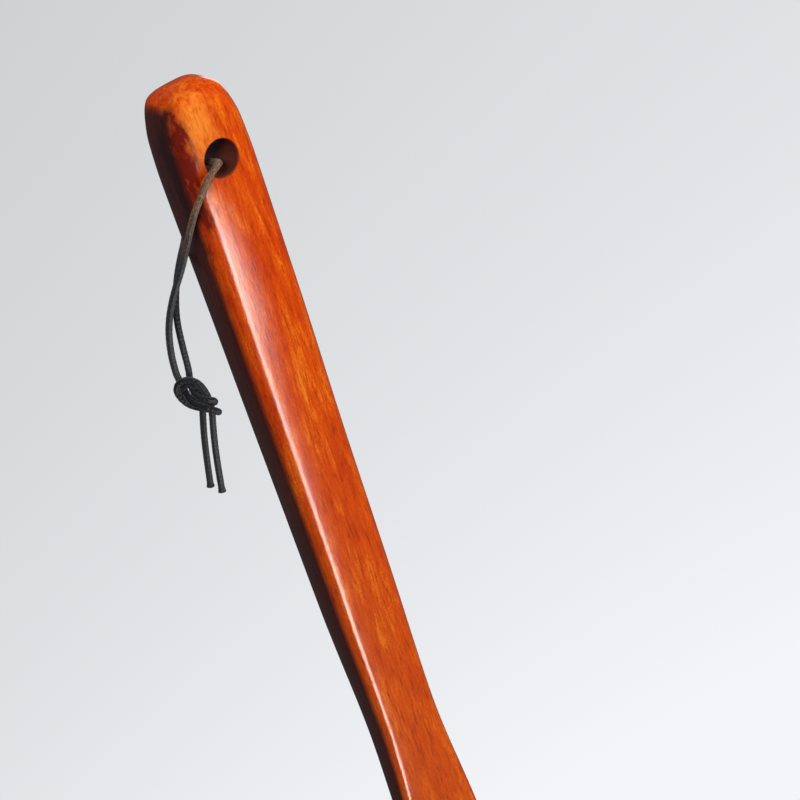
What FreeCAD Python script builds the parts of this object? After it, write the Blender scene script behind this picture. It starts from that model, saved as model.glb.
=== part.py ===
"""Long wooden shoehorn: a carved hardwood body, and a waxed cord knotted through its hanging hole.

Frame: millimetres, +Z up, gravity along -Z. The shoehorn leans in the XZ plane with its top towards -X, as it
does when it is propped up by hand. Its front, with the scoop, faces -Y. The origin is on the handle's
centreline at the middle of the grip. Along the body, a "drop" is the distance down from the top end.
"""
import FreeCAD, Part
import math
import os

import Sketcher
from FreeCAD import Placement, Rotation, Vector

DOCUMENT = "long_shoehorn"

# Driving dimensions in mm and degrees.
SIZES = {
    "lean": 20.5,
    "grip_drop": 110.0,
    "side_bow": 0.07,          # bulge of the side faces, as a share of their height
    "hole_drop": 23.0,
    "hole_radius": 5.5,
    "hole_wall": 9.5,          # half the length of the hole's straight wall, front to back
    "hole_mouth": 1.2,         # radius of the rounding at each mouth, which turns by 60 degrees
    "hole_reach": 13.0,        # half the length of the cut, past both faces
    "scoop_drop": 318.0,       # where the scoop's floor is parallel to the handle
    "scoop_floor": -8.0,       # place of that floor, front to back
    "scoop_round": 28.0,       # radius of the scoop across the blade
    "scoop_sweep": 1090.0,     # radius of the scoop along the blade
    "cord_radius": 1.05,
    "knot_long": 7.6,
    "knot_high": 4.4,
    "knot_deep": 4.2,
    "knot_turn": -37.0,        # turn of the knot's long axis about the vertical
    "knot_tilt": 29.0,         # fall of the knot's long axis
}

# Sections of the body from the top end to the tip. Each has its drop, width and thickness, the place of its
# middle from front to back, the crown of its front and of its back, and the radius of its corners.
SECTION_VALUES = ("drop", "width", "thick", "middle", "brow", "belly", "corner")
SECTIONS = {
    "cap": (0.2, 6.0, 4.6, 0.0, 0.25, 0.25, 1.4),
    "crown": (0.7, 11.0, 8.8, 0.0, 0.5, 0.5, 2.7),
    "brim": (1.6, 15.0, 14.2, 0.0, 0.9, 0.9, 4.0),
    "bevel": (3.4, 19.5, 19.0, 0.0, 1.1, 1.1, 5.2),
    "temple": (8.0, 23.5, 21.0, 0.0, 1.3, 1.3, 6.2),
    "cheek": (15.0, 26.6, 21.1, 0.0, 1.4, 1.4, 6.6),
    "eye": (28.0, 27.8, 21.1, 0.0, 1.4, 1.4, 6.8),
    "grip": (70.0, 27.7, 19.9, 0.0, 1.4, 1.4, 6.5),
    "palm": (130.0, 26.6, 18.7, 0.6, 1.3, 1.3, 5.9),
    "wrist": (190.0, 25.9, 17.3, 0.6, 1.2, 1.3, 5.1),
    "neck": (238.0, 24.4, 14.7, -0.4, 1.1, 1.4, 4.2),
    "flank": (284.0, 28.7, 12.6, -2.4, 1.0, 2.2, 3.0),
    "throat": (340.0, 33.4, 10.6, -6.2, 0.8, 4.0, 2.0),
    "spoon": (410.0, 38.6, 9.8, -12.6, 0.5, 5.6, 1.4),
    "heel": (475.0, 41.6, 9.4, -20.4, 0.4, 6.0, 1.2),
    "lip": (520.0, 42.0, 8.6, -27.2, 0.4, 5.6, 1.1),
    "nail": (538.0, 37.0, 7.4, -30.2, 0.4, 4.6, 1.0),
    "tip": (546.5, 27.6, 5.6, -31.8, 0.35, 3.0, 0.85),
    "edge": (549.6, 16.0, 3.2, -32.8, 0.25, 1.2, 0.6),
}

# Routes of the cord, from the middle of the hole, with X to the right, Y to the back and Z up.
FRONT_RUN = (
    (0.3, 0.0, -2.9),
    (0.7, -3.8, -2.1),
    (0.8, -8.2, -1.7),
    (-2.5, -12.1, -1.3),
    (-5.5, -12.7, -4.1),
    (-8.1, -12.5, -9.1),
    (-10.1, -10.9, -15.6),
    (-10.7, -8.4, -23.7),
    (-11.5, -6.1, -32.5),
    (-13.6, -4.2, -41.0),
    (-14.5, -2.7, -50.0),
    (-13.7, -2.1, -58.4),
    (-11.9, -1.7, -65.2),
    (-8.5, -1.1, -70.8),
    (-4.8, -0.4, -74.2),
)
BACK_RUN = (
    (0.3, 0.0, -2.9),
    (0.2, 4.0, -3.5),
    (0.1, 8.2, -2.5),
    (0.9, 12.2, -3.4),
    (1.7, 12.7, -7.6),
    (2.0, 12.3, -13.6),
    (1.9, 12.5, -20.6),
    (0.6, 11.9, -28.0),
    (-3.4, 8.8, -34.2),
    (-6.8, 5.5, -41.1),
    (-7.9, 3.8, -49.8),
    (-6.6, 2.7, -58.4),
    (-4.9, 1.9, -66.2),
    (-4.0, 1.1, -72.8),
)
LEFT_TAIL = (
    (-1.5, 0.2, -77.0),
    (-0.7, 0.5, -86.2),
    (0.3, 0.6, -95.9),
    (1.8, 1.0, -105.0),
)
RIGHT_TAIL = (
    (1.4, -0.2, -77.0),
    (2.1, -0.7, -86.8),
    (2.9, -1.0, -96.2),
    (4.3, -1.7, -106.5),
)
KNOT_CENTRE = (-2.7, 0.2, -75.0)
ARC_SHARE = 0.45               # share of the shorter run that an arc takes
MARK_REACH = 10.0              # half the length drawn for the scoop's axis, which has no length of its own


def make_sheet(doc):
    """Write every driving dimension to the spreadsheet under its own alias."""
    sheet = doc.addObject("Spreadsheet::Sheet", "sizes")
    values = dict(SIZES)
    for name, numbers in SECTIONS.items():
        for kind, number in zip(SECTION_VALUES, numbers):
            values[kind + "_" + name] = number
    for row, (alias, number) in enumerate(values.items(), start=1):
        sheet.set("A%d" % row, alias)
        sheet.set("B%d" % row, str(number))
        sheet.setAlias("B%d" % row, alias)
    doc.recompute()
    return sheet


def origin_plane(body, role):
    """Return one of the body's own origin planes."""
    return [feature for feature in body.Origin.OriginFeatures if feature.Role == role][0]


def new_sketch(body, name, role):
    """Add an empty sketch on one of the body's origin planes."""
    sketch = body.newObject("Sketcher::SketchObject", name)
    sketch.AttachmentSupport = [(origin_plane(body, role), "")]
    sketch.MapMode = "FlatFace"
    return sketch


def bind(sketch, name, constraint, expression):
    """Add a named dimension to a sketch and bind it to the spreadsheet."""
    sketch.renameConstraint(sketch.addConstraint(constraint), name)
    sketch.setExpression("Constraints." + name, expression)


def arc(centre, radius, start, end):
    """Return an arc in the sketch's plane, anticlockwise from start to end."""
    circle = Part.Circle(Vector(centre[0], centre[1], 0), Vector(0, 0, 1), radius)
    return Part.ArcOfCircle(circle, start, end)


def bearing(start, end):
    """Return the direction from one point of the sketch to another, in radians."""
    return math.atan2(end[1] - start[1], end[0] - start[0])


def corner_centre(face_centre, face_radius, side_centre, side_radius, radius):
    """Return the centre of the right-hand corner arc that touches a face arc and a side arc from inside."""
    to_face = face_radius - radius
    to_side = side_radius - radius
    across = side_centre[0] - face_centre[0]
    along = side_centre[1] - face_centre[1]
    gap = math.hypot(across, along)
    reach = (to_face ** 2 - to_side ** 2 + gap ** 2) / (2 * gap)
    offset = math.sqrt(to_face ** 2 - reach ** 2)
    foot = (face_centre[0] + reach * across / gap, face_centre[1] + reach * along / gap)
    step = (offset * along / gap, offset * across / gap)
    return max((foot[0] - step[0], foot[1] + step[1]), (foot[0] + step[0], foot[1] - step[1]))


def section_arcs(values, side_bow):
    """Return the eight arcs of one section, anticlockwise from the front, and the centres of three of them."""
    width, thick, middle, brow, belly, corner = values
    side_height = thick - brow - belly
    front_radius = width ** 2 / (8 * brow) + brow / 2
    back_radius = width ** 2 / (8 * belly) + belly / 2
    side_radius = side_height / (8 * side_bow) + side_height * side_bow / 2
    front = (0, middle - thick / 2 + front_radius)
    back = (0, middle + thick / 2 - back_radius)
    side = (width / 2 - side_radius, middle - thick / 2 + brow + side_height / 2)
    low = corner_centre(front, front_radius, side, side_radius, corner)
    high = corner_centre(back, back_radius, side, side_radius, corner)
    turns = (bearing(front, low), bearing(side, low), bearing(side, high), bearing(back, high))
    arcs = [
        arc(front, front_radius, -math.pi - turns[0], turns[0]),
        arc(low, corner, turns[0], turns[1]),
        arc(side, side_radius, turns[1], turns[2]),
        arc(high, corner, turns[2], turns[3]),
        arc(back, back_radius, turns[3], math.pi - turns[3]),
        arc((-high[0], high[1]), corner, math.pi - turns[3], math.pi - turns[2]),
        arc((-side[0], side[1]), side_radius, math.pi - turns[2], math.pi - turns[1]),
        arc((-low[0], low[1]), corner, math.pi - turns[1], math.pi - turns[0]),
    ]
    return arcs, front, back, side


def add_section(body, sheet, name):
    """Draw one crowned, round-cornered section of the body, square to its length."""
    sketch = new_sketch(body, "section_" + name, "XY_Plane")
    sketch.setExpression("AttachmentOffset.Base.z", "sizes.grip_drop - sizes.drop_" + name)
    values = [float(getattr(sheet, kind + "_" + name)) for kind in SECTION_VALUES[1:]]
    arcs, front, back, side = section_arcs(values, float(sheet.side_bow))
    sketch.addGeometry(arcs, False)
    for index in range(len(arcs)):
        sketch.addConstraint(Sketcher.Constraint("Tangent", index, 2, (index + 1) % len(arcs), 1))
    sketch.addConstraint(Sketcher.Constraint("PointOnObject", 0, 3, -2))
    sketch.addConstraint(Sketcher.Constraint("PointOnObject", 4, 3, -2))
    sketch.addConstraint(Sketcher.Constraint("Symmetric", 2, 3, 6, 3, -2))
    for first, second in ((1, 7), (3, 5), (1, 3), (2, 6)):
        sketch.addConstraint(Sketcher.Constraint("Equal", first, second))

    cell = {kind: "sizes.%s_%s" % (kind, name) for kind in SECTION_VALUES}
    radius = "({width}^2 / (8 * {%s}) + {%s} / 2)"
    front_radius = (radius % ("brow", "brow")).format(**cell)
    back_radius = (radius % ("belly", "belly")).format(**cell)
    side_height = "({thick} - {brow} - {belly})".format(**cell)
    side_radius = "(%s / (8 * sizes.side_bow) + %s * sizes.side_bow / 2)" % (side_height, side_height)
    front_face = "({middle} - {thick} / 2)".format(**cell)
    back_face = "({middle} + {thick} / 2)".format(**cell)

    bind(sketch, "front_radius", Sketcher.Constraint("Radius", 0, arcs[0].Radius), front_radius)
    bind(sketch, "back_radius", Sketcher.Constraint("Radius", 4, arcs[4].Radius), back_radius)
    bind(sketch, "side_radius", Sketcher.Constraint("Radius", 2, arcs[2].Radius), side_radius)
    bind(sketch, "corner_radius", Sketcher.Constraint("Radius", 1, arcs[1].Radius), cell["corner"])
    bind(sketch, "front_place", Sketcher.Constraint("DistanceY", -1, 1, 0, 3, front[1]),
         front_face + " + " + front_radius)
    bind(sketch, "back_place", Sketcher.Constraint("DistanceY", -1, 1, 4, 3, back[1]),
         back_face + " - " + back_radius)
    bind(sketch, "side_place", Sketcher.Constraint("DistanceY", -1, 1, 2, 3, side[1]),
         front_face + " + " + cell["brow"] + " + " + side_height + " / 2")
    bind(sketch, "side_reach", Sketcher.Constraint("DistanceX", -1, 1, 2, 3, side[0]),
         cell["width"] + " / 2 - " + side_radius)
    return sketch


def carve_scoop(body, doc):
    """Hollow the front of the blade with a long, shallow groove that runs out at the neck and at the tip."""
    sketch = new_sketch(body, "scoop_profile", "XY_Plane")
    sketch.setExpression("AttachmentOffset.Base.z", "sizes.grip_drop - sizes.scoop_drop")
    floor = SIZES["scoop_floor"]
    centre = floor - SIZES["scoop_round"]
    pivot = floor - SIZES["scoop_sweep"]
    sketch.addGeometry(Part.Circle(Vector(0, centre, 0), Vector(0, 0, 1), SIZES["scoop_round"]), False)
    sketch.addGeometry(Part.LineSegment(Vector(-MARK_REACH, pivot, 0), Vector(MARK_REACH, pivot, 0)), True)
    sketch.addConstraint(Sketcher.Constraint("PointOnObject", 0, 3, -2))
    sketch.addConstraint(Sketcher.Constraint("Symmetric", 1, 1, 1, 2, -2))
    bind(sketch, "round", Sketcher.Constraint("Radius", 0, SIZES["scoop_round"]), "sizes.scoop_round")
    bind(sketch, "round_place", Sketcher.Constraint("DistanceY", -1, 1, 0, 3, centre),
         "sizes.scoop_floor - sizes.scoop_round")
    bind(sketch, "pivot_place", Sketcher.Constraint("DistanceY", -1, 1, 1, 1, pivot),
         "sizes.scoop_floor - sizes.scoop_sweep")
    sketch.addConstraint(Sketcher.Constraint("DistanceX", 1, 1, 1, 2, 2 * MARK_REACH))
    doc.recompute()
    groove = body.newObject("PartDesign::Groove", "scoop")
    groove.Profile = (sketch, [""])
    groove.ReferenceAxis = (sketch, ["Axis0"])
    groove.Angle = 360.0
    doc.recompute()
    return groove


def drill_hole(body, doc):
    """Drill the hanging hole from front to back with both of its mouths rounded, as one turned cut."""
    sketch = new_sketch(body, "hole_profile", "XY_Plane")
    sketch.setExpression("AttachmentOffset.Base.z", "sizes.grip_drop - sizes.hole_drop")
    radius = SIZES["hole_radius"]
    mouth = SIZES["hole_mouth"]
    wall = SIZES["hole_wall"]
    reach = SIZES["hole_reach"]
    rim = radius + mouth / 2
    rim_height = wall + mouth * math.sin(math.pi / 3)
    flare = rim + (reach - rim_height) * math.tan(math.pi / 3)
    corners = {
        "front_axis": Vector(0, -reach, 0), "front_flare": Vector(flare, -reach, 0),
        "front_rim": Vector(rim, -rim_height, 0), "front_wall": Vector(radius, -wall, 0),
        "back_wall": Vector(radius, wall, 0), "back_rim": Vector(rim, rim_height, 0),
        "back_flare": Vector(flare, reach, 0), "back_axis": Vector(0, reach, 0),
    }
    front_round = arc((radius + mouth, -wall), mouth, math.pi, math.pi * 4 / 3)
    back_round = arc((radius + mouth, wall), mouth, math.pi * 2 / 3, math.pi)
    sketch.addGeometry([
        Part.LineSegment(corners["front_axis"], corners["front_flare"]),
        Part.LineSegment(corners["front_flare"], corners["front_rim"]),
        front_round,
        Part.LineSegment(corners["front_wall"], corners["back_wall"]),
        back_round,
        Part.LineSegment(corners["back_rim"], corners["back_flare"]),
        Part.LineSegment(corners["back_flare"], corners["back_axis"]),
        Part.LineSegment(corners["back_axis"], corners["front_axis"]),
    ], False)
    for first, first_end, second, second_end in ((0, 2, 1, 1), (5, 2, 6, 1), (6, 2, 7, 1), (7, 2, 0, 1)):
        sketch.addConstraint(Sketcher.Constraint("Coincident", first, first_end, second, second_end))
    for first, first_end, second, second_end in ((1, 2, 2, 2), (2, 1, 3, 1), (3, 2, 4, 2), (4, 1, 5, 1)):
        sketch.addConstraint(Sketcher.Constraint("Tangent", first, first_end, second, second_end))
    sketch.addConstraint(Sketcher.Constraint("Horizontal", 0))
    sketch.addConstraint(Sketcher.Constraint("Horizontal", 6))
    sketch.addConstraint(Sketcher.Constraint("Vertical", 3))
    sketch.addConstraint(Sketcher.Constraint("PointOnObject", 7, 1, -2))
    sketch.addConstraint(Sketcher.Constraint("Symmetric", 7, 1, 7, 2, -1, 1))
    sketch.addConstraint(Sketcher.Constraint("Symmetric", 2, 3, 4, 3, -1))
    sketch.addConstraint(Sketcher.Constraint("Equal", 1, 5))
    bind(sketch, "radius", Sketcher.Constraint("DistanceX", -1, 1, 3, 1, radius), "sizes.hole_radius")
    bind(sketch, "mouth", Sketcher.Constraint("Radius", 4, mouth), "sizes.hole_mouth")
    bind(sketch, "wall", Sketcher.Constraint("DistanceY", 3, 1, 3, 2, 2 * wall), "2 * sizes.hole_wall")
    bind(sketch, "reach", Sketcher.Constraint("DistanceY", 7, 2, 7, 1, 2 * reach), "2 * sizes.hole_reach")
    bind(sketch, "rim", Sketcher.Constraint("DistanceX", -1, 1, 1, 2, rim),
         "sizes.hole_radius + sizes.hole_mouth / 2")
    doc.recompute()
    hole = body.newObject("PartDesign::Groove", "hanging_hole")
    hole.Profile = (sketch, [""])
    hole.ReferenceAxis = (sketch, ["V_Axis"])
    hole.Angle = 360.0
    doc.recompute()
    return hole


def make_body(doc, sheet):
    """Build the carved body: lofted handle, neck and blade, scoop and hanging hole."""
    body = doc.addObject("PartDesign::Body", "shoehorn_body")
    body.Label = "shoehorn_body"
    sections = [add_section(body, sheet, name) for name in SECTIONS]
    doc.recompute()
    loft = body.newObject("PartDesign::AdditiveLoft", "carved_blank")
    loft.Profile = (sections[0], [""])
    loft.Sections = [(section, [""]) for section in sections[1:]]
    loft.Ruled = False
    doc.recompute()
    scoop = carve_scoop(body, doc)
    hole = drill_hole(body, doc)
    for before, after in ((loft, scoop), (scoop, hole)):
        if after.Shape.Volume >= before.Shape.Volume:
            raise RuntimeError(after.Name + " removes nothing")
    body.Placement = Placement(Vector(0, 0, 0), Rotation(Vector(0, -1, 0), SIZES["lean"]))
    body.setExpression("Placement.Rotation.Angle", "sizes.lean")
    return body


def tube_path(name, points):
    """Return a wire of straight runs joined by tangent arcs, each as large as its two runs allow."""
    edges = []
    radii = []
    start = points[0]
    for before, here, after in zip(points, points[1:], points[2:]):
        inward = (here - before).normalize()
        outward = (after - here).normalize()
        reach = ARC_SHARE * min(here.distanceToPoint(before), here.distanceToPoint(after))
        half_turn = inward.getAngle(outward) / 2
        radius = reach / math.tan(half_turn)
        entry = here - inward * reach
        leave = here + outward * reach
        bisector = (outward - inward).normalize()
        centre_gap = radius / math.cos(half_turn)
        middle = here + bisector * (centre_gap - radius)
        edges.append(Part.LineSegment(start, entry).toShape())
        edges.append(Part.Arc(entry, middle, leave).toShape())
        radii.append(radius)
        start = leave
    edges.append(Part.LineSegment(start, points[-1]).toShape())
    print(name, "bend radii:", ", ".join("%.1f" % radius for radius in radii))
    return Part.Wire(edges)


def make_tube(doc, name, route, hole_centre):
    """Sweep the cord's round section along one route."""
    points = [Vector(*point) for point in route]
    path = doc.addObject("Part::Feature", name + "_path")
    path.Shape = tube_path(name, points)
    path.Placement = Placement(hole_centre, Rotation())
    ring = doc.addObject("Part::Circle", name + "_ring")
    ring.setExpression("Radius", "sizes.cord_radius")
    facing = Rotation(Vector(0, 0, 1), points[1] - points[0])
    ring.Placement = Placement(hole_centre + points[0], facing)
    tube = doc.addObject("Part::Sweep", name)
    tube.Label = name
    tube.Sections = [ring]
    tube.Spine = (path, ["Edge%d" % number for number in range(1, len(path.Shape.Edges) + 1)])
    tube.Solid = True
    tube.Frenet = False
    doc.recompute()
    length = path.Shape.Length
    expected = math.pi * SIZES["cord_radius"] ** 2 * length
    print(name, "length %.1f, volume %.1f, section times length %.1f" % (length, tube.Shape.Volume, expected))
    if abs(tube.Shape.Volume - expected) > 0.01 * expected:
        raise RuntimeError(name + " has the wrong volume")
    return tube


def make_knot(doc, hole_centre):
    """Make the knot's outer shape, a lump whose long axis falls to the right."""
    knot = doc.addObject("Part::Ellipsoid", "cord_knot")
    knot.Label = "cord_knot"
    knot.setExpression("Radius1", "sizes.knot_high")
    knot.setExpression("Radius2", "sizes.knot_long")
    knot.setExpression("Radius3", "sizes.knot_deep")
    turn = Rotation(Vector(0, 0, 1), SIZES["knot_turn"])
    tilt = Rotation(Vector(0, 1, 0), SIZES["knot_tilt"])
    knot.Placement = Placement(hole_centre + Vector(*KNOT_CENTRE), turn.multiply(tilt))
    return knot


def check(doc, parts):
    """Stop unless every object has been computed and every part is one valid solid."""
    for item in doc.Objects:
        if "Invalid" in item.State or "Error" in item.State:
            raise RuntimeError(item.Name + " failed")
    for item in parts:
        if item.Shape.isNull() or not item.Shape.isValid() or len(item.Shape.Solids) != 1:
            raise RuntimeError(item.Label + " is not one valid solid")


def build():
    """Build the document and write each part to parts/."""
    doc = FreeCAD.newDocument(DOCUMENT)
    sheet = make_sheet(doc)
    lean = math.radians(float(sheet.lean))
    hole_height = float(sheet.grip_drop) - float(sheet.hole_drop)
    hole_centre = Vector(-hole_height * math.sin(lean), 0, hole_height * math.cos(lean))
    parts = [make_body(doc, sheet), make_knot(doc, hole_centre)]
    routes = {
        "cord_front_run": FRONT_RUN,
        "cord_back_run": BACK_RUN,
        "cord_tail_left": LEFT_TAIL,
        "cord_tail_right": RIGHT_TAIL,
    }
    parts += [make_tube(doc, name, route, hole_centre) for name, route in routes.items()]
    doc.recompute()
    check(doc, parts)
    os.makedirs("parts", exist_ok=True)
    for item in parts:
        item.Shape.exportStep("parts/" + item.Label + ".step")
        box = item.Shape.BoundBox
        print("%-16s volume %9.1f  x %7.1f %7.1f  y %6.1f %6.1f  z %7.1f %7.1f" % (
            item.Label, item.Shape.Volume, box.XMin, box.XMax, box.YMin, box.YMax, box.ZMin, box.ZMax))


build()
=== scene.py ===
"""Looks of a long wooden shoehorn with a knotted cord loop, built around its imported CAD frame.

The frame is in metres with +Z up. The shoehorn's front faces -Y, and its top end leans towards -X.
"""
import math

import bmesh
import bpy
import numpy as np
from mathutils import Matrix, Vector


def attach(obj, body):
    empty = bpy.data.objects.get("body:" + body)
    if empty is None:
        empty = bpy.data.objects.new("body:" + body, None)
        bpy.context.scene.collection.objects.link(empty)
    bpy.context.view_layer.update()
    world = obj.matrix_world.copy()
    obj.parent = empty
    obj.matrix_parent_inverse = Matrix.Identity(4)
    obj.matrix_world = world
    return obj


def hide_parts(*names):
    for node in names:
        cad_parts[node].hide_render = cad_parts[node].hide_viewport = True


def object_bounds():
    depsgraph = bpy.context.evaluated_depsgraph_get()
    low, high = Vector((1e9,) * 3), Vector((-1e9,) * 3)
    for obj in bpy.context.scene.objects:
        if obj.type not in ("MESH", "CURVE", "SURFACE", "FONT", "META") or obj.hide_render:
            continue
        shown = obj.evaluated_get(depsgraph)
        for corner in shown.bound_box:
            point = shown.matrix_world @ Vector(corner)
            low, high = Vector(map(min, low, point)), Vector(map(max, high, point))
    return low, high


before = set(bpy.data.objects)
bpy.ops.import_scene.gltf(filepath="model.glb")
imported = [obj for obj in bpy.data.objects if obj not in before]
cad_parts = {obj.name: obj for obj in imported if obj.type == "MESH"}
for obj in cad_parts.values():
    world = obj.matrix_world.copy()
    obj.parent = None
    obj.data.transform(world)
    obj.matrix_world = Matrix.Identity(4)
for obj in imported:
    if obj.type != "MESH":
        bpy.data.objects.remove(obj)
CAD_BOX = [list(corner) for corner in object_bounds()]

MM = 0.001
SAME_PLACE = 1e-6               # metres between two points of a line that are taken as one

# The body's own sizes in mm, as the CAD has them. A drop is the distance down from the top end.
LEAN = math.radians(20.5)       # of the body's long axis from upright
GRIP_DROP = 110.0               # of the frame's origin
SIDE_BOW = 0.07                 # how far each side face bulges
HOLE_DROP = 23.0                # of the hanging hole's axis
HOLE_RADIUS = 5.5
HOLE_WALL = 9.5                 # half the length of the hole's straight bore
HOLE_MOUTH = 1.2                # radius of the rounding at each mouth
HOLE_MOUTH_TURN = math.pi / 3   # how far the rounding turns before the cut opens straight
HOLE_REACH = 13.0               # half the length of the whole cut
SCOOP_DROP = 318.0              # of the place where the scoop's floor lies furthest back
SCOOP_FLOOR = -8.0              # y of the floor there
SCOOP_ROUND = 28.0              # radius of the floor across the blade
SCOOP_SWEEP = 1090.0            # radius of the floor along the blade
SCOOP_TURN = 15.0               # degrees that the scoop's cut runs to each side of that place
# Each section's drop, width, thickness, middle from front to back, crowns of front and back,
# and corner radius.
SECTIONS = (
    (0.0, 1.2, 0.9, 0.0, 0.04, 0.04, 0.35), (0.2, 6.0, 4.6, 0.0, 0.25, 0.25, 1.4),
    (0.7, 11.0, 8.8, 0.0, 0.5, 0.5, 2.7), (1.6, 15.0, 14.2, 0.0, 0.9, 0.9, 4.0),
    (3.4, 19.5, 19.0, 0.0, 1.1, 1.1, 5.2), (8.0, 23.5, 21.0, 0.0, 1.3, 1.3, 6.2),
    (15.0, 26.6, 21.1, 0.0, 1.4, 1.4, 6.6), (28.0, 27.8, 21.1, 0.0, 1.4, 1.4, 6.8),
    (70.0, 27.7, 19.9, 0.0, 1.4, 1.4, 6.5), (130.0, 26.6, 18.7, 0.6, 1.3, 1.3, 5.9),
    (190.0, 25.9, 17.3, 0.6, 1.2, 1.3, 5.1), (238.0, 24.4, 14.7, -0.4, 1.1, 1.4, 4.2),
    (284.0, 28.7, 12.6, -2.4, 1.0, 2.2, 3.0), (340.0, 33.4, 10.6, -6.2, 0.8, 4.0, 2.0),
    (410.0, 38.6, 9.8, -12.6, 0.5, 5.6, 1.4), (475.0, 41.6, 9.4, -20.4, 0.4, 6.0, 1.2),
    (520.0, 42.0, 8.6, -27.2, 0.4, 5.6, 1.1), (538.0, 37.0, 7.4, -30.2, 0.4, 4.6, 1.0),
    (546.5, 27.6, 5.6, -31.8, 0.35, 3.0, 0.85), (549.6, 16.0, 3.2, -32.8, 0.25, 1.2, 0.6),
    (550.0, 8.0, 2.0, -32.9, 0.15, 0.5, 0.4),
)
# The hanging hole's middle, along the body from the frame's origin in mm, and as a place.
HOLE_HEIGHT = GRIP_DROP - HOLE_DROP
HOLE = Vector((-HOLE_HEIGHT * math.sin(LEAN), 0.0, HOLE_HEIGHT * math.cos(LEAN))) * MM

# How finely the body's mesh follows those sizes.
ARC_STEPS = (12, 14, 10, 14, 12)    # along half an outline: front, corner, side, corner, back
TOP_ROW, TIP_ROW = 7, -4            # the sections where the closer rings of the two ends stop
TOP_RINGS, SHAFT_RINGS, TIP_RINGS = 60, 380, 40
CUT_SIDES = 128
SCOOP_RINGS = 121
MOUTH_RINGS = 9
SHARP_ANGLE = 32.0                  # degrees between two faces from which their edge is sharp

# Routes of the cord's two runs and tails, in mm from the middle of the hanging hole. They are the
# CAD's, with the ends next to the knot moved to meet its turns.
FRONT_RUN = (
    (0.3, 0.0, -2.9), (0.7, -3.8, -2.1), (0.8, -8.2, -1.7), (-2.5, -12.1, -1.3),
    (-5.5, -12.7, -4.1), (-8.1, -12.5, -9.1), (-10.1, -10.9, -15.6), (-10.7, -8.4, -23.7),
    (-11.5, -6.1, -32.5), (-13.6, -4.2, -41.0), (-14.2, -2.3, -50.2), (-12.8, -1.0, -58.9),
    (-10.2, 0.6, -66.1),
)
BACK_RUN = (
    (0.3, 0.0, -2.9), (0.2, 4.0, -3.5), (0.1, 8.2, -2.5), (0.9, 12.2, -3.4),
    (1.7, 12.7, -7.6), (2.0, 12.3, -13.6), (1.9, 12.5, -20.6), (0.6, 11.9, -28.0),
    (-3.4, 8.8, -34.2), (-6.8, 5.5, -41.1), (-7.9, 3.8, -49.8), (-6.6, 2.7, -58.4),
    (-4.9, 1.9, -66.2),
)
LEFT_TAIL = ((-1.3, -0.3, -85.9), (0.1, 0.3, -95.8), (1.8, 1.0, -105.0))
RIGHT_TAIL = ((1.5, -1.5, -86.5), (2.7, -1.3, -96.1), (4.3, -1.7, -106.5))

# The knot's own axes run to its right, up, and out of its face, from its middle. Its face is
# turned to the left and tipped upwards.
KNOT_MIDDLE = (-4.3, -1.3, -74.2)
KNOT_TURN = math.radians(-37.0)
KNOT_TIP = math.radians(18.0)
# Each strand through the overhand knot, in mm along those axes, from the run to the tail.
FRONT_KNOT = (
    (-5.6, 5.6, -0.2), (-4.2, 2.8, -0.9), (-2.6, 0.2, 0.6), (-1.0, -2.0, 1.9), (1.8, -2.9, 2.6),
    (4.6, -3.6, 2.3), (6.9, -4.4, 0.8), (6.7, -4.5, -1.6), (4.2, -3.8, -2.8), (1.0, -3.4, -3.0),
    (-2.2, -2.6, -2.6), (-4.6, -0.8, -1.4), (-6.2, 1.8, 0.2), (-5.2, 4.2, 1.6), (-2.4, 5.2, 2.3),
    (0.6, 4.3, 2.0), (2.6, 2.0, 1.2), (3.9, -0.6, 0.1), (4.7, -3.2, -0.9),
)
BACK_KNOT = (
    (-2.2, 5.6, -0.9), (-1.6, 3.0, -0.4), (-0.6, 1.0, 0.9), (1.0, -0.4, 1.8), (3.4, -1.0, 2.0),
    (5.6, -1.0, 0.9), (5.6, -1.6, -1.4), (3.4, -1.9, -2.5), (0.6, -1.4, -2.9), (-1.6, -0.6, -2.3),
    (-3.6, 0.6, -0.8), (-4.2, 2.4, 0.7), (-2.9, 3.6, 1.5), (-0.6, 3.4, 1.2), (0.9, 1.6, 0.4),
    (1.6, -1.2, -0.3), (1.9, -3.9, -1.2),
)
# Each strand's name, its run, knot and tail, and the CAD solids that it stands for.
STRANDS = (
    ("cord_front_strand", FRONT_RUN, FRONT_KNOT, RIGHT_TAIL,
     ("cord_front_run", "cord_tail_right", "cord_knot")),
    ("cord_back_strand", BACK_RUN, BACK_KNOT, LEFT_TAIL, ("cord_back_run", "cord_tail_left")),
)

# The cord's other sizes in mm.
CORD_RADIUS = 1.05
CORD_SIDES = 32
BRAID_RIDGES = 3                # each way round the cord
BRAID_PITCH = 3.4
BRAID_RELIEF = 0.045
FLARE_HEIGHT = 0.22             # how far the melted far end stands out
FLARE_LENGTH = 0.8              # how quickly that fades along the cord
NEAR_DOME, FAR_DOME = 0.1, 0.25     # how far the middle of each end stands out

# The wood's colours, linear. Tones run from the grain's darkest red to its lightest amber.
WOOD_TONES = ((0.34, (0.44, 0.028, 0.001)), (0.43, (0.60, 0.055, 0.001)),
              (0.53, (0.72, 0.090, 0.001)), (0.64, (0.90, 0.24, 0.012)))
# Painted light: a lit golden patch on the top end's front.
LIT_GOLDEN = (0.92, 0.27, 0.03)
# Painted shade: darker red down the left shoulder near the top end.
SHADE_RED = (0.19, 0.013, 0.005)
LOW_ORANGE = (0.80, 0.19, 0.035)
LACQUER_TINT = (0.97, 0.88, 0.8)
# Painted shade: the unlit left side face.
LEFT_SHADE_BLACK = (0.018, 0.009, 0.010)
# Painted shade: the recess of the hanging hole's bore.
BORE_SHADE_BROWN = (0.12, 0.028, 0.017)
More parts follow.
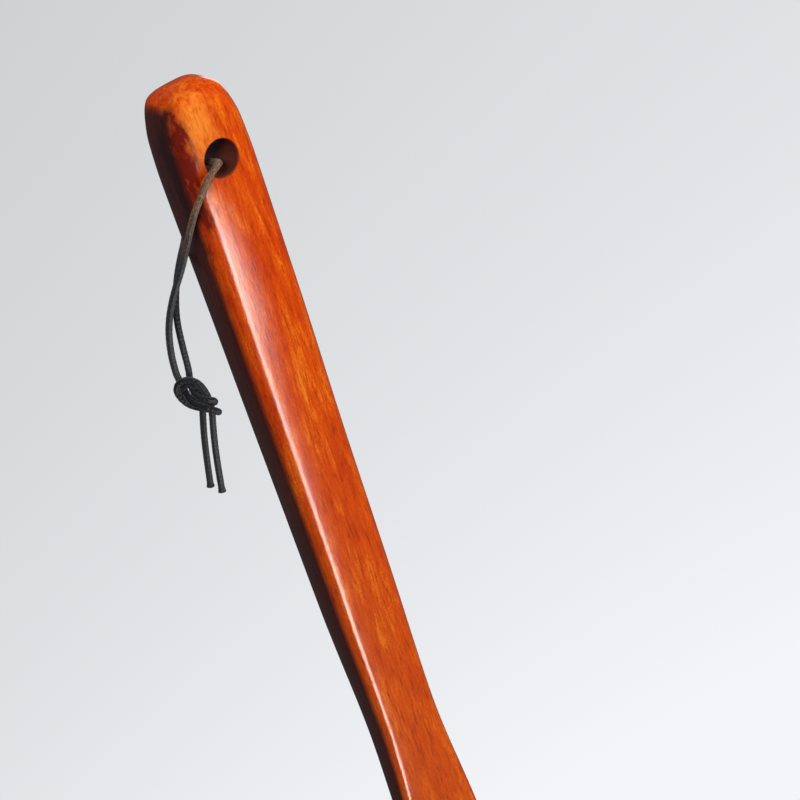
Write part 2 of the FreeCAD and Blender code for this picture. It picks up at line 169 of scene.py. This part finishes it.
# Middles and reaches in mm along the body's axes: a painted lit golden patch on the top end's
# front, painted shade in red down its left shoulder, and painted shade round the hole's axis.
LIT_GOLDEN_SPOT = ((-4.0, -9.0, 99.0), (9.0, 9.0, 14.0))
SHADE_RED_SPOT = ((-13.0, -7.0, 90.0), (8.0, 9.0, 30.0))
BORE_SHADE_SPOT = ((0.0, 0.0, HOLE_HEIGHT), (12.0, 12.0, 12.0))
WANDER = 2.6                    # how far a spot's edge wanders, as a share of its reach
SPECK_LEVEL = 0.65              # of the speck noise, above which specks lighten the tone
PORE_SHADE = ((0.30, 0.55), (0.46, 1.0))    # brightness, by the fine grain
LEFT_SHADE_EDGE = ((0.72, 0.0), (0.93, 0.92))    # painted shade on the left side face, by the cosine of the angle from facing straight left
BORE_SHADE_EDGE = ((0.48, 0.0), (0.53, 1.0))      # painted shade in the bore, by nearness to the hanging hole's axis
# Height in metres below which the wood is more orange, how fast that grows per metre, and its most.
LOW_START, LOW_RATE, LOW_MOST = 0.02, 4.0, 0.35

# The cord's colours, by how far its fibres stand out.
CHARCOAL = ((0.30, (0.010, 0.012, 0.017)), (0.55, (0.022, 0.025, 0.035)),
            (0.75, (0.058, 0.063, 0.077)))
# Painted light: brown and pale straw where the key light and the wood's orange bounce fall.
LIT_BROWN = ((0.30, (0.045, 0.018, 0.010)), (0.52, (0.17, 0.082, 0.042)),
              (0.70, (0.50, 0.33, 0.18)))
LIT_END, LIT_RATE = 46.0, 0.05    # mm along the cord where the painted light ends, and its growth per mm
LIT_PATCHES = ((0.30, 0.25), (0.55, 1.0))
# Painted shade: brightness the cord keeps in the knot, by shares of this length in mm along it.
KNOT_SHADE_LENGTH = 200.0
KNOT_SHADE = ((0.41, 1.0), (0.46, 0.4), (0.60, 0.4), (0.70, 1.0))
FIBRE_ROUND = 6.6               # mm round the cord
WEAVE_ROUND, WEAVE_ALONG = 25.13, 2.4   # radians of the weave per turn and per mm

# The camera stands at the front left and above. Its axis passes right of and below the hole.
CAMERA_AZIMUTH, CAMERA_ELEVATION, CAMERA_ROLL = -37.0, 18.0, 1.0
CAMERA_DISTANCE = 0.6
CAMERA_RIGHT, CAMERA_BELOW = 0.0578, 0.0726
CAMERA_LENS = 92.05

# Lights: name, azimuth, elevation, distance, width and height, power, colour, and whether they
# light surfaces and whether they show in reflections. The strips make the highlight that runs down
# the handle's left shoulder.
LIGHT_TARGET = Vector((-0.01, 0.0, 0.03))
STRIP_COLOUR = (1.0, 0.92, 0.81)
WHITE = (1.0, 1.0, 1.0)
LIGHTS = (
    ("key", 42.0, 36.0, 1.2, (0.45, 0.45), 12.5, (1.0, 0.97, 0.92), True, False),
    ("fill", -46.0, 20.0, 1.2, (0.4, 0.4), 10.0, (1.0, 0.97, 0.93), True, False),
    ("strip", 13.0, -33.0, 0.7, (0.14, 0.40), 4.2, STRIP_COLOUR, False, True),
    ("strip_top", 19.0, -18.5, 0.7, (0.13, 0.07), 0.5, STRIP_COLOUR, False, True),
    ("rim", 138.0, 16.0, 1.2, (0.4, 0.5), 1.6, WHITE, True, True),
    ("back", 188.0, 40.0, 1.3, (0.5, 0.5), 7.0, WHITE, True, False),
)
WORLD_COLOUR, WORLD_STRENGTH = (0.55, 0.55, 0.62), 0.13

# The stage's grey is lightest in one direction, and stays between two levels.
STAGE_TINT = (0.975, 0.995, 1.02)
STAGE_SLOPE = (0.20, -0.20, -0.30)
STAGE_LEVEL, STAGE_DARKEST, STAGE_LIGHTEST = 0.71, 0.5, 0.92
FLOOR_SIZE, FLOOR_GAP, BACKDROP_RADIUS = 12.0, 0.002, 8.0

# Sockets of a colour Mix node.
MIX_FACTOR, MIX_FIRST, MIX_SECOND, MIX_RESULT = 0, 6, 7, 2


def direction(azimuth, elevation):
    """Return the unit vector towards a place around the object, azimuth 0 being its front, -Y."""
    a = math.radians(azimuth)
    e = math.radians(elevation)
    return Vector((math.sin(a) * math.cos(e), -math.cos(a) * math.cos(e), math.sin(e)))


def add_camera():
    """Add the camera, with the hanging hole near the upper left of its frame."""
    roll = math.radians(CAMERA_ROLL)
    back = direction(CAMERA_AZIMUTH, CAMERA_ELEVATION)
    level = Vector((math.cos(math.radians(CAMERA_AZIMUTH)),
                    math.sin(math.radians(CAMERA_AZIMUTH)), 0.0))
    upright = back.cross(level)
    right = level * math.cos(roll) + upright * math.sin(roll)
    up = upright * math.cos(roll) - level * math.sin(roll)
    place = HOLE + back * CAMERA_DISTANCE + right * CAMERA_RIGHT - up * CAMERA_BELOW
    turn = Matrix((right, up, back)).transposed()
    data = bpy.data.cameras.new("camera")
    data.sensor_width = 36.0
    data.lens = CAMERA_LENS
    data.clip_start = 0.01
    data.clip_end = 30.0
    camera = bpy.data.objects.new("camera", data)
    camera.matrix_world = Matrix.Translation(place) @ turn.to_4x4()
    bpy.context.scene.collection.objects.link(camera)
    bpy.context.scene.camera = camera


def tube_faces(rings, around):
    """Return the faces of a closed tube: quads between its rings, then a fan over each end.

    Its vertices run round each ring in turn, and last come the middles of the two ends.
    """
    faces = []
    for ring in range(rings - 1):
        for k in range(around):
            a = ring * around + k
            b = ring * around + (k + 1) % around
            faces.append((a, b, b + around, a + around))
    middle = rings * around
    last = middle - around
    faces += [((k + 1) % around, k, middle) for k in range(around)]
    faces += [(last + k, last + (k + 1) % around, middle + 1) for k in range(around)]
    return faces


def link_mesh(name, mesh):
    """Return a new object for a mesh, linked to the scene."""
    made = bpy.data.objects.new(name, mesh)
    bpy.context.scene.collection.objects.link(made)
    return made


def knot_points(points):
    """Return points given along the knot's own axes, in mm from the hole."""
    right = Vector((math.cos(KNOT_TURN), math.sin(KNOT_TURN), 0.0))
    out = Vector((math.sin(KNOT_TURN) * math.cos(KNOT_TIP),
                  -math.cos(KNOT_TURN) * math.cos(KNOT_TIP), math.sin(KNOT_TIP)))
    up = out.cross(right)
    middle = Vector(KNOT_MIDDLE)
    return [tuple(middle + right * x + up * y + out * z) for x, y, z in points]


def spline_points(name, points):
    """Return the points of the NURBS spline through control points given in mm from the hole."""
    curve = bpy.data.curves.new(name + "_line", "CURVE")
    curve.dimensions = "3D"
    spline = curve.splines.new("NURBS")
    spline.points.add(len(points) - 1)
    for point, place in zip(spline.points, points):
        point.co = (*(HOLE + Vector(place) * MM), 1.0)
    spline.order_u = 3
    spline.use_endpoint_u = True
    spline.resolution_u = 16
    holder = link_mesh(name + "_line", curve)
    bpy.context.view_layer.update()
    mesh = bpy.data.meshes.new_from_object(holder)
    line = np.array([vertex.co for vertex in mesh.vertices], float)
    bpy.data.meshes.remove(mesh)
    bpy.data.objects.remove(holder)
    moves_on = np.r_[True, np.linalg.norm(np.diff(line, axis=0), axis=1) > SAME_PLACE]
    return line[moves_on]


def sweep_frames(line):
    """Return tangents and two side vectors along a line, carried without twist."""
    tangent = np.gradient(line, axis=0)
    tangent /= np.linalg.norm(tangent, axis=1)[:, None]
    side = np.cross(tangent[0], (0.0, 1.0, 0.0))
    side /= np.linalg.norm(side)
    sides = [side]
    for t in tangent[1:]:
        side = side - t * (side @ t)
        side = side / np.linalg.norm(side)
        sides.append(side)
    sides = np.array(sides)
    return tangent, sides, np.cross(tangent, sides)


def make_cord(name, points):
    """Build a strand as a tube with a round braid's relief and a mushroomed, melted far end.

    Return it with the line that it follows. Its UVs are turns round it and mm along it.
    """
    line = spline_points(name, points)
    tangent, sides, others = sweep_frames(line)
    along = np.r_[0.0, np.cumsum(np.linalg.norm(np.diff(line, axis=0), axis=1))]
    total = along[-1]
    angle = np.arange(CORD_SIDES) / CORD_SIDES * 2 * math.pi
    rings = []
    for centre, s, side, other in zip(line, along, sides, others):
        phase = 2 * math.pi * s / (BRAID_PITCH * MM)
        relief = (BRAID_RELIEF * np.sin(BRAID_RIDGES * angle + phase)
                  * np.sin(BRAID_RIDGES * angle - phase))
        flare = FLARE_HEIGHT * math.exp(-((total - s) / MM / FLARE_LENGTH) ** 2)
        radius = ((CORD_RADIUS + relief + flare) * MM)[:, None]
        rings.append(centre + np.cos(angle)[:, None] * radius * side
                     + np.sin(angle)[:, None] * radius * other)
    ends = [line[0] - tangent[0] * NEAR_DOME * MM, line[-1] + tangent[-1] * FAR_DOME * MM]
    coords = [tuple(place) for place in np.concatenate([*rings, ends])]
    mesh = bpy.data.meshes.new(name)
    mesh.from_pydata(coords, [], tube_faces(len(line), CORD_SIDES))
    layer = mesh.uv_layers.new(name="UVMap")
    for polygon in mesh.polygons:
        polygon.use_smooth = True
        corners = [mesh.loops[loop].vertex_index for loop in polygon.loop_indices]
        closing = any(corner % CORD_SIDES == CORD_SIDES - 1 for corner in corners)
        for loop, corner in zip(polygon.loop_indices, corners):
            ring, k = divmod(corner, CORD_SIDES)
            if ring < len(line):
                turn = 1.0 if k == 0 and closing else k / CORD_SIDES
                layer.data[loop].uv = (turn, along[ring] / MM)
            else:
                layer.data[loop].uv = (0.5, 0.0 if k == 0 else total / MM)
    return link_mesh(name, mesh), line


def section_ring(width, thick, middle, brow, belly, corner):
    """Return a section's outline in mm: crowned front and back, bowed sides, round corners."""
    height = thick - brow - belly
    front_radius = width ** 2 / (8 * brow) + brow / 2
    back_radius = width ** 2 / (8 * belly) + belly / 2
    side_radius = height / (8 * SIDE_BOW) + height * SIDE_BOW / 2
    front = (0.0, middle - thick / 2 + front_radius)
    back = (0.0, middle + thick / 2 - back_radius)
    side = (width / 2 - side_radius, middle - thick / 2 + brow + height / 2)

    def corner_centre(face, face_radius):
        """Return the centre of the corner arc inside both a face's arc and the side's."""
        reach = face_radius - corner
        near = side_radius - corner
        across, along = side[0] - face[0], side[1] - face[1]
        gap = math.hypot(across, along)
        share = (reach ** 2 - near ** 2 + gap ** 2) / (2 * gap)
        off = math.sqrt(max(0.0, reach ** 2 - share ** 2))
        foot = (face[0] + share * across / gap, face[1] + share * along / gap)
        return max((foot[0] - off * along / gap, foot[1] + off * across / gap),
                   (foot[0] + off * along / gap, foot[1] - off * across / gap))

    low = corner_centre(front, front_radius)
    high = corner_centre(back, back_radius)
    turns = [math.atan2(to[1] - centre[1], to[0] - centre[0])
             for centre, to in ((front, low), (side, low), (side, high), (back, high))]
    arcs = ((front, front_radius, -math.pi / 2, turns[0]), (low, corner, turns[0], turns[1]),
            (side, side_radius, turns[1], turns[2]), (high, corner, turns[2], turns[3]),
            (back, back_radius, turns[3], math.pi / 2))
    points = [(0.0, front[1] - front_radius)]
    for (centre, radius, first, last), steps in zip(arcs, ARC_STEPS):
        for step in range(1, steps + 1):
            angle = first + (last - first) * step / steps
            points.append((centre[0] + radius * math.cos(angle),
                           centre[1] + radius * math.sin(angle)))
    half = np.array(points)
    return np.concatenate([half, half[-2:0:-1] * (-1.0, 1.0)])


def smooth_table(knots, rows, places):
    """Interpolate table rows with a monotone cubic through them."""
    gaps = np.diff(knots)[:, None]
    slope = np.diff(rows, axis=0) / gaps
    both = slope[1:] * slope[:-1]
    weight = 2 * gaps[1:] + gaps[:-1]
    other = gaps[1:] + 2 * gaps[:-1]
    with np.errstate(divide="ignore", invalid="ignore"):
        middle = np.where(both > 0, (weight + other) / (weight / slope[:-1] + other / slope[1:]),
                          0.0)
    tangent = np.concatenate([slope[:1], middle, slope[-1:]])
    index = np.clip(np.searchsorted(knots, places) - 1, 0, len(knots) - 2)
    h = gaps[index]
    t = (places - knots[index])[:, None] / h
    return ((2 * t ** 3 - 3 * t ** 2 + 1) * rows[index]
            + (t ** 3 - 2 * t ** 2 + t) * h * tangent[index]
            + (3 * t ** 2 - 2 * t ** 3) * rows[index + 1]
            + (t ** 3 - t ** 2) * h * tangent[index + 1])


def grid_object(name, rings):
    """Build a closed mesh from rings of points in mm along the body's own axes."""
    rings = np.array(rings, float)
    count, around = rings.shape[:2]
    across = Vector((math.cos(LEAN), 0.0, math.sin(LEAN)))
    up = Vector((-math.sin(LEAN), 0.0, math.cos(LEAN)))
    verts = [(across * x + Vector((0.0, y, 0.0)) + up * z) * MM
             for x, y, z in rings.reshape(-1, 3).tolist()]
    for ring in (verts[:around], verts[-around:]):
        verts.append(sum(ring, Vector()) / around)
    mesh = bpy.data.meshes.new(name)
    mesh.from_pydata([tuple(v) for v in verts], [], tube_faces(count, around))
    check = bmesh.new()
    check.from_mesh(mesh)
    bmesh.ops.recalc_face_normals(check, faces=check.faces)
    check.to_mesh(mesh)
    check.free()
    return link_mesh(name, mesh)


def body_rings():
    """Return the body's outlines from the top end to the blade's tip."""
    table = np.array(SECTIONS)
    knots = np.r_[0.0, np.cumsum(np.hypot(np.diff(table[:, 0]), np.diff(table[:, 1]) / 2))]
    top, tip = knots[TOP_ROW], knots[TIP_ROW]
    places = np.concatenate([np.linspace(0.0, top, TOP_RINGS)[:-1],
                             np.linspace(top, tip, SHAFT_RINGS)[:-1],
                             np.linspace(tip, knots[-1], TIP_RINGS)])
    rings = []
    for drop, *sizes in smooth_table(knots, table, places):
        outline = section_ring(*sizes)
        rings.append(np.column_stack([outline, np.full(len(outline), GRIP_DROP - drop)]))
    return rings


def scoop_rings(angle):
    """Return the rings of the round bar, bent along the blade, that carves the scoop."""
    pivot = SCOOP_FLOOR - SCOOP_SWEEP
    reach = SCOOP_SWEEP - SCOOP_ROUND + SCOOP_ROUND * np.sin(angle)
    return [np.column_stack([SCOOP_ROUND * np.cos(angle), pivot + reach * math.cos(turn),
                             GRIP_DROP - SCOOP_DROP + reach * math.sin(turn)])
            for turn in np.radians(np.linspace(-SCOOP_TURN, SCOOP_TURN, SCOOP_RINGS))]


def hole_rings(angle):
    """Return the rings of the bar, flared at both mouths, that drills the hanging hole."""
    mouth = [(HOLE_RADIUS + HOLE_MOUTH * (1 - math.cos(t)), HOLE_WALL + HOLE_MOUTH * math.sin(t))
             for t in np.linspace(0.0, HOLE_MOUTH_TURN, MOUTH_RINGS)]
    wide, far = mouth[-1]
    flare = (wide + (HOLE_REACH - far) * math.tan(HOLE_MOUTH_TURN), HOLE_REACH)
    profile = [(r, -y) for r, y in [flare] + mouth[::-1]] + mouth + [flare]
    return [np.column_stack([r * np.cos(angle), np.full(len(angle), y),
                             HOLE_HEIGHT + r * np.sin(angle)]) for r, y in profile]


def make_body():
    """Loft the body through its sections, carve the scoop and drill the hanging hole."""
    body = grid_object("carved_body", body_rings())
    angle = np.linspace(0.0, 2 * math.pi, CUT_SIDES + 1)[:-1]
    cuts = [grid_object("scoop_cut", scoop_rings(angle)),
            grid_object("hole_cut", hole_rings(angle))]
    for cut in cuts:
        modifier = body.modifiers.new(cut.name, "BOOLEAN")
        modifier.operation = "DIFFERENCE"
        modifier.solver = "EXACT"
        modifier.object = cut
    bpy.context.view_layer.update()
    evaluated = body.evaluated_get(bpy.context.evaluated_depsgraph_get())
    carved = bpy.data.meshes.new_from_object(evaluated)
    body.modifiers.clear()
    body.data = carved
    for cut in cuts:
        bpy.data.objects.remove(cut)
    for polygon in carved.polygons:
        polygon.use_smooth = True
    carved.set_sharp_from_angle(angle=math.radians(SHARP_ANGLE))
    return body


def new_material(name, kind="ShaderNodeBsdfPrincipled"):
    """Return a new material, its node tree and its shader node."""
    material = bpy.data.materials.new(name)
    material.use_nodes = True
    tree = material.node_tree
    tree.nodes.clear()
    shader = tree.nodes.new(kind)
    output = tree.nodes.new("ShaderNodeOutputMaterial")
    tree.links.new(shader.outputs[0], output.inputs["Surface"])
    return material, tree, shader


def set_input(tree, socket, value):
    """Link a socket to an input, or set a plain value on it."""
    if isinstance(value, bpy.types.NodeSocket):
        tree.links.new(value, socket)
    else:
        socket.default_value = value


def add_node(tree, kind, settings=None, numbered=(), **named):
    """Add a node, and set its settings and its inputs, by number or by name."""
    made = tree.nodes.new(kind)
    for key, value in (settings or {}).items():
        setattr(made, key, value)
    for key, value in (*enumerate(numbered), *named.items()):
        set_input(tree, made.inputs[key], value)
    return made


def math_node(tree, operation, first, second=0.0, clamp=False):
    """Return the result of a sum on one or two values, kept from 0 to 1 if clamp is set."""
    settings = {"operation": operation, "use_clamp": clamp}
    return add_node(tree, "ShaderNodeMath", settings, (first, second)).outputs[0]


def weighted_sum(tree, *terms):
    """Return the sum of values, each times its own weight."""
    total = None
    for value, weight in terms:
        part = math_node(tree, "MULTIPLY", value, weight)
        total = part if total is None else math_node(tree, "ADD", total, part)
    return total


def vector_node(tree, operation, *vectors):
    """Return a vector math node for one or two vectors."""
    return add_node(tree, "ShaderNodeVectorMath", {"operation": operation}, vectors)


def ramp_node(tree, value, stops):
    """Return a colour ramp's colour for a value, with stops of (position, colour or grey)."""
    made = add_node(tree, "ShaderNodeValToRGB", Fac=value)
    elements = made.color_ramp.elements
    while len(elements) < len(stops):
        elements.new(0.5)
    for element, (position, colour) in zip(elements, stops):
        element.position = position
        element.color = (*((colour,) * 3 if isinstance(colour, float) else colour), 1.0)
    return made.outputs["Color"]


def noise_node(tree, vector, scale, detail, roughness):
    """Return noise whose cells are stretched by a scale along each axis."""
    stretch = add_node(tree, "ShaderNodeMapping", Vector=vector, Scale=scale)
    return add_node(tree, "ShaderNodeTexNoise", Vector=stretch.outputs[0], Scale=1.0,
                    Detail=detail, Roughness=roughness).outputs["Fac"]


def spot_mask(tree, vector, spot, wander=None):
    """Return 1 at a spot's middle falling to 0 at its reach, with wander added to the distance."""
    middle, reach = (tuple(v * MM for v in sizes) for sizes in spot)
    shift = vector_node(tree, "SUBTRACT", vector, middle)
    scale = vector_node(tree, "DIVIDE", shift.outputs[0], reach)
    value = vector_node(tree, "LENGTH", scale.outputs[0]).outputs["Value"]
    if wander is not None:
        value = math_node(tree, "ADD", value, wander)
    return math_node(tree, "SUBTRACT", 1.0, value, clamp=True)


def mix_colour(tree, factor, first, second, blend="MIX"):
    """Return a second colour laid over a first one. Each is a colour or a socket."""
    made = add_node(tree, "ShaderNodeMix", {"data_type": "RGBA", "blend_type": blend})
    for index, value in ((MIX_FACTOR, factor), (MIX_FIRST, first), (MIX_SECOND, second)):
        set_input(tree, made.inputs[index], (*value, 1.0) if isinstance(value, tuple) else value)
    return made.outputs[MIX_RESULT]


def wood_material():
    """Orange-red stained hardwood under satin lacquer, grain along the body, painted light and
    shade.
    """
    material, tree, shader = new_material("lacquered_wood")
    place = add_node(tree, "ShaderNodeTexCoord")
    grain = add_node(tree, "ShaderNodeMapping", Vector=place.outputs["Object"],
                     Rotation=(0.0, LEAN, 0.0)).outputs[0]
    apart = add_node(tree, "ShaderNodeSeparateXYZ", Vector=grain)

    # Grain: scales are in cells per metre across, through and along the body.
    fine = noise_node(tree, grain, (1500.0, 1500.0, 170.0), detail=5.0, roughness=0.65)
    streak = noise_node(tree, grain, (420.0, 420.0, 55.0), detail=4.0, roughness=0.6)
    cloud = noise_node(tree, grain, (75.0, 75.0, 24.0), detail=3.0, roughness=0.5)
    speck = noise_node(tree, grain, (2300.0, 2300.0, 1000.0), detail=2.0, roughness=0.5)
    specks = math_node(tree, "SUBTRACT", speck, SPECK_LEVEL)
    tone = weighted_sum(tree, (streak, 0.5), (cloud, 0.35), (fine, 0.22), (specks, 0.22))
    colour = ramp_node(tree, tone, WOOD_TONES)

    # Painted light: a lit golden patch at the top end, and red shade down the left shoulder.
    spot_edge_noise = noise_node(tree, grain, (300.0, 300.0, 120.0), detail=4.0, roughness=0.65)
    wander = math_node(tree, "MULTIPLY", math_node(tree, "SUBTRACT", spot_edge_noise, 0.5), WANDER)
    for spot, strength, painted_tone in ((LIT_GOLDEN_SPOT, 1.3, LIT_GOLDEN), (SHADE_RED_SPOT, 1.8, SHADE_RED)):
        mask = spot_mask(tree, grain, spot, wander)
        colour = mix_colour(tree, math_node(tree, "MULTIPLY", mask, strength, True), colour, painted_tone)
    low = math_node(tree, "MULTIPLY",
                    math_node(tree, "SUBTRACT", LOW_START, apart.outputs["Z"]), LOW_RATE, True)
    colour = mix_colour(tree, math_node(tree, "MULTIPLY", low, LOW_MOST), colour, LOW_ORANGE)
    colour = mix_colour(tree, 1.0, colour, LACQUER_TINT, "MULTIPLY")
    colour = mix_colour(tree, 1.0, colour, ramp_node(tree, fine, PORE_SHADE), "MULTIPLY")

    # Painted shade: the left side face coloured nearly black, and the hanging hole's bore dark
    # brown.
    facing = vector_node(tree, "DOT_PRODUCT", place.outputs["Normal"],
                         (-math.cos(LEAN), 0.0, -math.sin(LEAN)))
    left_shade = ramp_node(tree, facing.outputs["Value"], LEFT_SHADE_EDGE)
    colour = mix_colour(tree, left_shade, colour, LEFT_SHADE_BLACK)
    level = add_node(tree, "ShaderNodeCombineXYZ", X=apart.outputs["X"], Z=apart.outputs["Z"])
    bore_shade = ramp_node(tree, spot_mask(tree, level.outputs[0], BORE_SHADE_SPOT), BORE_SHADE_EDGE)
    colour = mix_colour(tree, bore_shade, colour, BORE_SHADE_BROWN)

    height = math_node(tree, "ADD", fine, math_node(tree, "MULTIPLY", speck, 0.9))
    bump = add_node(tree, "ShaderNodeBump", Strength=0.22, Distance=0.0002, Height=height)
    for key, value in (("Base Color", colour), ("Normal", bump.outputs[0]),
                       ("Coat Normal", bump.outputs[0]), ("Roughness", 0.45),
                       ("Specular IOR Level", 0.02), ("Coat Weight", 0.8),
                       ("Coat Roughness", 0.12)):
        set_input(tree, shader.inputs[key], value)
    return material


def cord_material():
    """Charcoal waxed braid, painted lit brown and pale straw near the hole, painted shade in the
    knot.
    """
    material, tree, shader = new_material("waxed_cord")
    place = add_node(tree, "ShaderNodeTexCoord")
    apart = add_node(tree, "ShaderNodeSeparateXYZ", Vector=place.outputs["UV"])
    around, along = apart.outputs["X"], apart.outputs["Y"]
    flat = add_node(tree, "ShaderNodeCombineXYZ",
                    X=math_node(tree, "MULTIPLY", around, FIBRE_ROUND), Y=along).outputs[0]
    # Scales are in cells per mm round and along the cord.
    fibre = noise_node(tree, flat, (4.5, 1.1, 1.0), detail=4.0, roughness=0.6)
    patch = noise_node(tree, flat, (0.35, 0.16, 1.0), detail=2.0, roughness=0.5)
    # Painted light: the cord turns brown in patches near the hole.
    cord_lit = math_node(tree, "MULTIPLY",
                     math_node(tree, "SUBTRACT", LIT_END, along), LIT_RATE, True)
    cord_lit = math_node(tree, "MULTIPLY", cord_lit, ramp_node(tree, patch, LIT_PATCHES))
    colour = mix_colour(tree, cord_lit, ramp_node(tree, fibre, CHARCOAL),
                        ramp_node(tree, fibre, LIT_BROWN))
    knot_shading = ramp_node(tree, math_node(tree, "MULTIPLY", along, 1 / KNOT_SHADE_LENGTH), KNOT_SHADE)
    colour = mix_colour(tree, 1.0, colour, knot_shading, "MULTIPLY")

    # The weave is where two sets of ridges that wind round the cord both ways cross.
    turned = math_node(tree, "MULTIPLY", around, WEAVE_ROUND)
    passed = math_node(tree, "MULTIPLY", along, WEAVE_ALONG)
    weave = math_node(tree, "MULTIPLY",
                      math_node(tree, "SINE", math_node(tree, "ADD", turned, passed)),
                      math_node(tree, "SINE", math_node(tree, "SUBTRACT", turned, passed)))
    height = math_node(tree, "ADD", math_node(tree, "MULTIPLY", weave, 0.5), fibre)
    bump = add_node(tree, "ShaderNodeBump", Strength=0.6, Distance=0.0003, Height=height)
    for key, value in (("Base Color", colour), ("Normal", bump.outputs[0]), ("Roughness", 0.55),
                       ("Specular IOR Level", 0.4), ("Sheen Weight", 0.15)):
        set_input(tree, shader.inputs[key], value)
    return material


def area_light(name, azimuth, elevation, distance, size, power, colour, diffuse, glossy):
    """Add an area light that faces the object's upper half."""
    data = bpy.data.lights.new(name, "AREA")
    data.shape = "RECTANGLE"
    data.size, data.size_y = size
    data.energy = power
    data.color = colour
    light = bpy.data.objects.new(name, data)
    place = LIGHT_TARGET + direction(azimuth, elevation) * distance
    light.location = place
    light.rotation_euler = (LIGHT_TARGET - place).to_track_quat("-Z", "Y").to_euler()
    light.visible_camera = False
    light.visible_diffuse = diffuse
    light.visible_glossy = glossy
    bpy.context.scene.collection.objects.link(light)


def add_stage():
    """Add a pale floor under the tip, a pale backdrop all round, and a weak, even world light.

    Floor and backdrop glow with a grey that depends on place, and light nothing themselves.
    """
    material, tree, glow = new_material("pale_paper", "ShaderNodeEmission")
    place = add_node(tree, "ShaderNodeNewGeometry")
    toward = vector_node(tree, "NORMALIZE", place.outputs["Position"])
    slope = vector_node(tree, "DOT_PRODUCT", toward.outputs[0], STAGE_SLOPE)
    level = math_node(tree, "ADD", slope.outputs["Value"], STAGE_LEVEL)
    level = math_node(tree, "MINIMUM", level, STAGE_LIGHTEST)
    level = math_node(tree, "MAXIMUM", level, STAGE_DARKEST)
    set_input(tree, glow.inputs["Color"], mix_colour(tree, 1.0, STAGE_TINT, level, "MULTIPLY"))
    bpy.ops.mesh.primitive_plane_add(size=FLOOR_SIZE,
                                     location=(0.0, 0.0, CAD_BOX[0][2] - FLOOR_GAP))
    floor = bpy.context.object
    floor.name = "floor"
    bpy.ops.mesh.primitive_uv_sphere_add(segments=64, ring_count=32, radius=BACKDROP_RADIUS)
    backdrop = bpy.context.object
    backdrop.name = "backdrop"
    for piece in (floor, backdrop):
        piece.data.materials.append(material)
        piece.visible_diffuse = False
        piece.visible_glossy = False
        piece.visible_shadow = False
    world = bpy.data.worlds.new("studio")
    bpy.context.scene.world = world
    world.use_nodes = True
    background = world.node_tree.nodes["Background"]
    background.inputs["Color"].default_value = (*WORLD_COLOUR, 1.0)
    background.inputs["Strength"].default_value = WORLD_STRENGTH


add_camera()
add_stage()
for light in LIGHTS:
    area_light(*light)
bpy.context.scene.view_settings.view_transform = "Standard"

wood = wood_material()
waxed = cord_material()
body = make_body()
body.data.materials.clear()
body.data.materials.append(wood)
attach(body, "body")
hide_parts("shoehorn_body")

for name, run, knot, tail, nodes in STRANDS:
    piece, line = make_cord(name, [*run, *knot_points(knot), *tail])
    piece.data.materials.append(waxed)
    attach(piece, "cord")
    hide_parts(*nodes)
